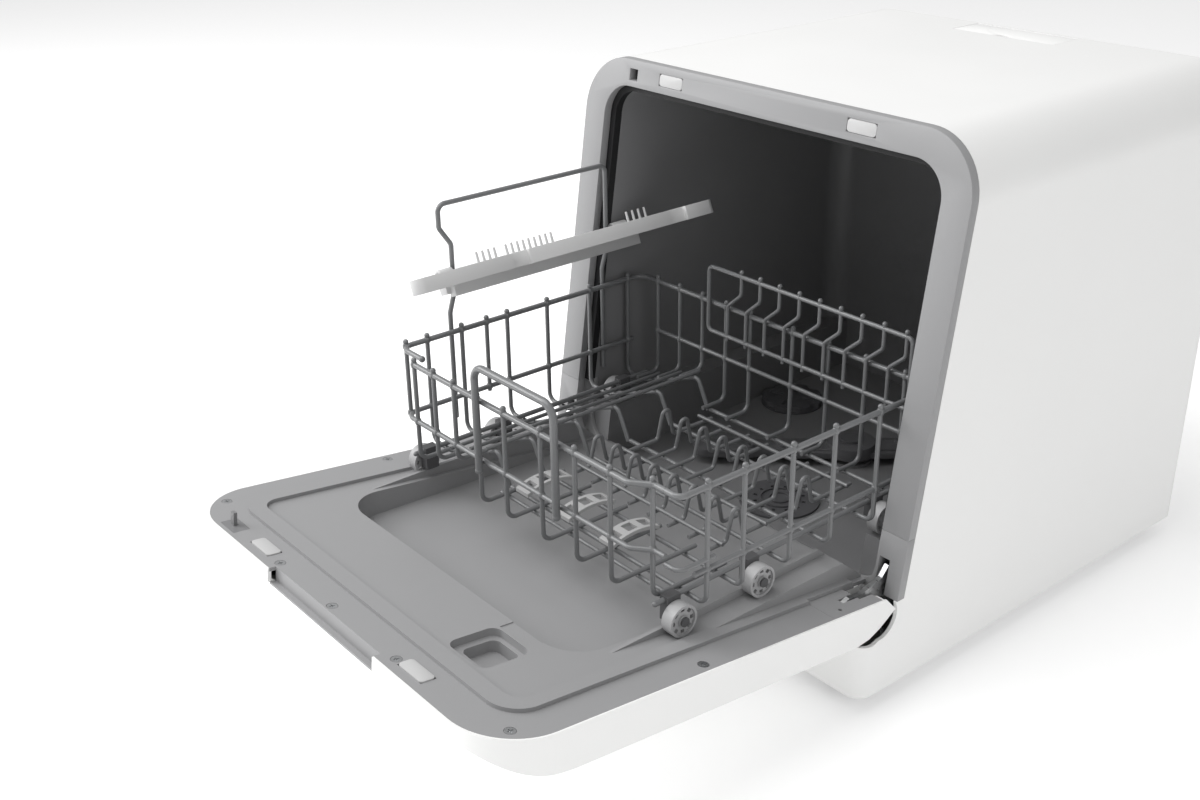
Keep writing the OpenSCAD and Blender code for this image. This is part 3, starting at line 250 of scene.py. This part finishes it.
# ---- Sump, filter, salt cap and spray post ----
# Dark glass-filled mouldings in the tub's floor. The cap and the filter lift
# out; the post is screwed down and carries the spray arm.

fitting_dark = plastic("fitting_dark", (0.11, 0.11, 0.115),
                       rough=0.42, grain=900, depth=0.0001, cloud=0.08)
paint("sump_cup", fitting_dark)
paint("filter_basket", fitting_dark)
paint("spray_post", fitting_dark)
moulded("salt_cap", "cabinet", fitting_dark, radius=0.0005)

# ---- Spray arm ----
# Two hot-plate welded halves with nozzles along both wings, pushed on the
# post so that the water's thrust turns it.

arm_dark = plastic("arm_dark", (0.13, 0.13, 0.135),
                   rough=0.36, grain=700, depth=0.0001, cloud=0.06)
moulded("spray_arm", "arm", arm_dark, radius=0.0004)

# ---- Works under and behind the tub ----
# Two pumps, a steel flow heater, the blow moulded fill tank, the circuit
# board and the door lock: plain service parts in their natural finish.

pump_dark = plastic("pump_dark", (0.07, 0.07, 0.074),
                    rough=0.45, grain=700, depth=0.0001, cloud=0.06)
for node in ("wash_pump", "drain_pump", "door_lock"):
    paint(node, pump_dark)
heater_steel = steel("heater_steel", (0.58, 0.58, 0.57), rough=0.32, streak=12)
paint("flow_heater", heater_steel)
tank_milky = plastic("tank_milky", (0.60, 0.60, 0.585),
                     rough=0.5, grain=60, depth=0.0004, cloud=0.05)
paint("water_tank", tank_milky)
board_green = plastic("board_green", (0.02, 0.12, 0.055),
                      rough=0.34, grain=700, depth=0.0001, cloud=0.12)
paint("control_board", board_green)

# ---- Water connectors and cable gland ----
# Pale moulded spigots, threaded for the nuts of the two hoses, and a rubber
# gland that grips the lead where it leaves the pocket.

spigot_pale = plastic("spigot_pale", (0.48, 0.48, 0.475),
                      rough=0.46, grain=900, depth=0.00008, cloud=0.03)
paint("inlet_connector", spigot_pale)
paint("drain_connector", spigot_pale)
paint("cable_gland", foot_rubber)

# ---- Door's outer shell ----
# The door's face is moulded from the casing's white, with the fingers' grip
# and the control panel let into its free edge.

paint("door_outer", casing_white)

# ---- Door's inner panel ----
# A matt pale grey liner with a drained basin, a tray for detergent and two
# rails for the rack's wheels, fixed by screws along its edge.

liner_grey = plastic("liner_grey", (0.30, 0.30, 0.305), rough=0.42, grain=1500, depth=0.00006)
paint("door_inner", liner_grey)
paint("hinge_covers", liner_grey)
moulded("door_pads", "door", pad_pale, radius=0.0004)
pin_grey = plastic("pin_grey", (0.20, 0.20, 0.205),
                   rough=0.4, grain=700, depth=0.00008, cloud=0.04)
paint("lock_pin", pin_grey)
paint("door_screws", screw_steel)

# ---- Hinges ----
# Pressed and bent zinc plated steel arms that leave the frame's slots and
# carry the door, on brackets riveted to the base.

hinge_steel = steel("hinge_steel", (0.66, 0.665, 0.67), rough=0.3, streak=8)
for node in ("hinge_brackets", "hinge_arm_left", "hinge_arm_right"):
    paint(node, hinge_steel)

# ---- Control panel and buttons ----
# A glossy black fascia with a smoked window, and four pale keys that stand
# through it on springs.

fascia_black = plastic("fascia_black", (0.012, 0.012, 0.013),
                       rough=0.1, grain=200, depth=0.00002, cloud=0.06, coat=0.6)
window_black = plastic("window_black", (0.006, 0.006, 0.007),
                       rough=0.06, grain=150, depth=0.00001, cloud=0.05, coat=0.9)
key_pale = plastic("key_pale", (0.52, 0.52, 0.53), rough=0.36, grain=700, depth=0.00005)
paint("control_panel", fascia_black)
paint("display_window", window_black)
for node in ("button_power", "button_program", "button_delay", "button_start"):
    paint(node, key_pale)

# ---- Rack wires ----
# Steel wire, bent and spot welded, then dipped in grey polyamide. The coat
# is satin, a little uneven, and gathers where two wires cross.

wire_coat = plastic("wire_coat", (0.17, 0.173, 0.177),
                    rough=0.32, grain=260, depth=0.0003, cloud=0.14, coat=0.25)
for node in ("rack_side_left", "rack_side_right", "rack_front_panel", "rack_back_panel",
             "rack_floor", "tine_wires", "rack_ledge", "back_rack", "shelf_frame"):
    paint(node, wire_coat)

bead_radius = 0.0029
bead_stretch = 1.3
mid_y = 0.01222    # y counts from the door's line here, which lies this far before the origin
rim_z = 0.234
side_x = 0.171
side_ys = (-0.165, -0.130, -0.082, -0.038, 0.011, 0.057)
left_only_ys = (-0.186, -0.104)
right_low_z, left_low_z = 0.169, 0.173
front_y, front_low_z = -0.202, 0.183
front_xs = (-0.134, -0.106, -0.078, -0.046, -0.012, 0.033, 0.073, 0.112)
corner_x, corner_y = 0.144, -0.191
rear_y, rear_low_z = 0.075, 0.185
rear_xs = (-0.148, -0.118, -0.088, -0.058, -0.028, 0.022, 0.062, 0.102, 0.142)

bpy.ops.object.select_all(action="DESELECT")
bpy.ops.mesh.primitive_ico_sphere_add(subdivisions=3, radius=bead_radius)
bead = bpy.context.active_object
bpy.ops.object.mode_set(mode="EDIT")
bpy.ops.mesh.select_all(action="SELECT")
bpy.ops.transform.resize(value=(1, 1, bead_stretch))
bpy.ops.object.mode_set(mode="OBJECT")
bpy.ops.object.shade_smooth()
bead.data.materials.append(wire_coat)
bead_shape = bead.data.copy()
bpy.data.objects.remove(bead)

knots = [(side_x, y, z) for y in side_ys for z in (rim_z, right_low_z)]
knots += [(-side_x, y, z) for y in left_only_ys + side_ys for z in (rim_z, left_low_z)]
knots += [(x, front_y, z) for x in front_xs for z in (rim_z, front_low_z)]
knots += [(corner_x, corner_y, z) for z in (rim_z, front_low_z)]
knots += [(x, rear_y, z) for x in rear_xs for z in (rim_z, rear_low_z)]
beads = []
for x, y, z in knots:
    one = bpy.data.objects.new("weld", bead_shape.copy())
    one.data.transform(Matrix.Translation((x, y - mid_y, z)))
    bpy.context.scene.collection.objects.link(one)
    beads.append(one)
bpy.ops.object.select_all(action="DESELECT")
for one in beads:
    one.select_set(True)
bpy.context.view_layer.objects.active = beads[0]
bpy.ops.object.join()
welds = bpy.context.active_object
welds.name = "rack_welds"
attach(welds, "rack")

# ---- Pull handle ----
# One wire thicker than the rack's, bent to a square hoop, welded to the front
# of the rim and dipped with the rack.

paint("pull_handle", wire_coat)

# ---- Cup rests ----
# Three pale moulded clips, snapped over the floor wires so that cups and
# small bowls lean on them.

rest_pale = plastic("rest_pale", (0.45, 0.45, 0.45), rough=0.42, grain=900, depth=0.00006)
paint("cup_rests", rest_pale)

# ---- Wheels and their brackets ----
# Nylon rollers with a ring of openings, free on the pins of brackets that
# clip to the long bars.

bracket_dark = plastic("bracket_dark", (0.085, 0.085, 0.088),
                       rough=0.42, grain=900, depth=0.0001, cloud=0.05)
paint("wheel_brackets", bracket_dark)
wheel_nylon = plastic("wheel_nylon", (0.40, 0.40, 0.405),
                      rough=0.4, grain=900, depth=0.00008, cloud=0.04)
for side in ("right", "left"):
    for spot in ("front", "mid", "rear"):
        paint("wheel_%s_%s" % (side, spot), wheel_nylon)

# ---- Cup shelf ----
# A pale grey tray that clips to the hinge rod of the tall wire frame; a row
# of pins stands along its hinge side for the stems of glasses.

shelf_grey = plastic("shelf_grey", (0.60, 0.60, 0.60), rough=0.42, grain=1100, depth=0.00006)
moulded("cup_shelf", "shelf", shelf_grey, radius=0.0004)

# ---- Studio ----
# A plain pale sweep of floor, soft light from above and from both sides, and
# the camera where the photograph was taken from.

floor_tone = bpy.data.materials.new("floor_tone")
floor_tone.use_nodes = True
floor_shader = floor_tone.node_tree.nodes["Principled BSDF"]
floor_shader.inputs["Base Color"].default_value = (0.9, 0.9, 0.9, 1)
floor_shader.inputs["Roughness"].default_value = 0.8
floor_shader.inputs["Emission Color"].default_value = (1, 1, 1, 1)
floor_shader.inputs["Emission Strength"].default_value = 0.3
floor_width = 14
floor_z = -0.0002    # just under the feet, so that the two faces don't meet
bpy.ops.object.select_all(action="DESELECT")
bpy.ops.mesh.primitive_plane_add(size=floor_width, location=(0, 0, floor_z))
floor = bpy.context.active_object
floor.name = "studio_floor"
floor.data.materials.append(floor_tone)

def lamp(name, at, size, watts):
    """A round soft box at a place, turned to the middle of the machine."""
    data = bpy.data.lights.new(name, "AREA")
    data.shape = "DISK"
    data.size = size
    data.energy = watts
    box = bpy.data.objects.new(name, data)
    bpy.context.scene.collection.objects.link(box)
    box.location = at
    aim = Vector((0, 0, 0.2)) - Vector(at)
    box.rotation_euler = aim.to_track_quat("-Z", "Y").to_euler()

lamp("lamp_top", at=(-0.5, -0.8, 2.4), size=2.2, watts=35)
lamp("lamp_left", at=(-2.0, -1.6, 1.5), size=1.8, watts=46)
lamp("lamp_right", at=(2.2, -0.6, 1.3), size=1.6, watts=5)

# the camera sees a white room, which lights the machine at half strength
world = bpy.data.worlds.new("studio_world")
bpy.context.scene.world = world
world.use_nodes = True
nodes, links = world.node_tree.nodes, world.node_tree.links
soft = nodes["Background"]
soft.inputs["Color"].default_value = (1, 1, 1, 1)
soft.inputs["Strength"].default_value = 0.5
seen = nodes.new("ShaderNodeBackground")
seen.inputs["Color"].default_value = (1, 1, 1, 1)
seen.inputs["Strength"].default_value = 1.0
ray = nodes.new("ShaderNodeLightPath")
either = nodes.new("ShaderNodeMath")
either.operation = "MAXIMUM"
links.new(ray.outputs["Is Camera Ray"], either.inputs[0])
links.new(ray.outputs["Is Transmission Ray"], either.inputs[1])
both = nodes.new("ShaderNodeMixShader")
links.new(either.outputs[0], both.inputs["Fac"])
links.new(soft.outputs["Background"], both.inputs[1])
links.new(seen.outputs["Background"], both.inputs[2])
links.new(both.outputs["Shader"], nodes["World Output"].inputs["Surface"])

# camera: a 42.5 mm lens on a 36 mm wide sensor, 1.29 m from the origin
turn, drop, tilt = math.radians(50.764), math.radians(24.999), math.radians(-0.929)
eye = Vector((0.77423, -0.75039 - mid_y, 0.68961))
ahead = Vector((-math.sin(turn) * math.cos(drop), math.cos(turn) * math.cos(drop), -math.sin(drop)))
level = Vector((math.cos(turn), math.sin(turn), 0))
upright = level.cross(ahead)
right = math.cos(tilt) * level + math.sin(tilt) * upright
up = -math.sin(tilt) * level + math.cos(tilt) * upright
view = bpy.data.cameras.new("photo_camera")
view.lens = 42.528
view.sensor_width = 36.0
view.clip_start = 0.02
camera = bpy.data.objects.new("photo_camera", view)
bpy.context.scene.collection.objects.link(camera)
camera.matrix_world = Matrix((
    (right.x, up.x, -ahead.x, eye.x),
    (right.y, up.y, -ahead.y, eye.y),
    (right.z, up.z, -ahead.z, eye.z),
    (0, 0, 0, 1)))
bpy.context.scene.camera = camera
bpy.context.scene.view_settings.view_transform = "Standard"
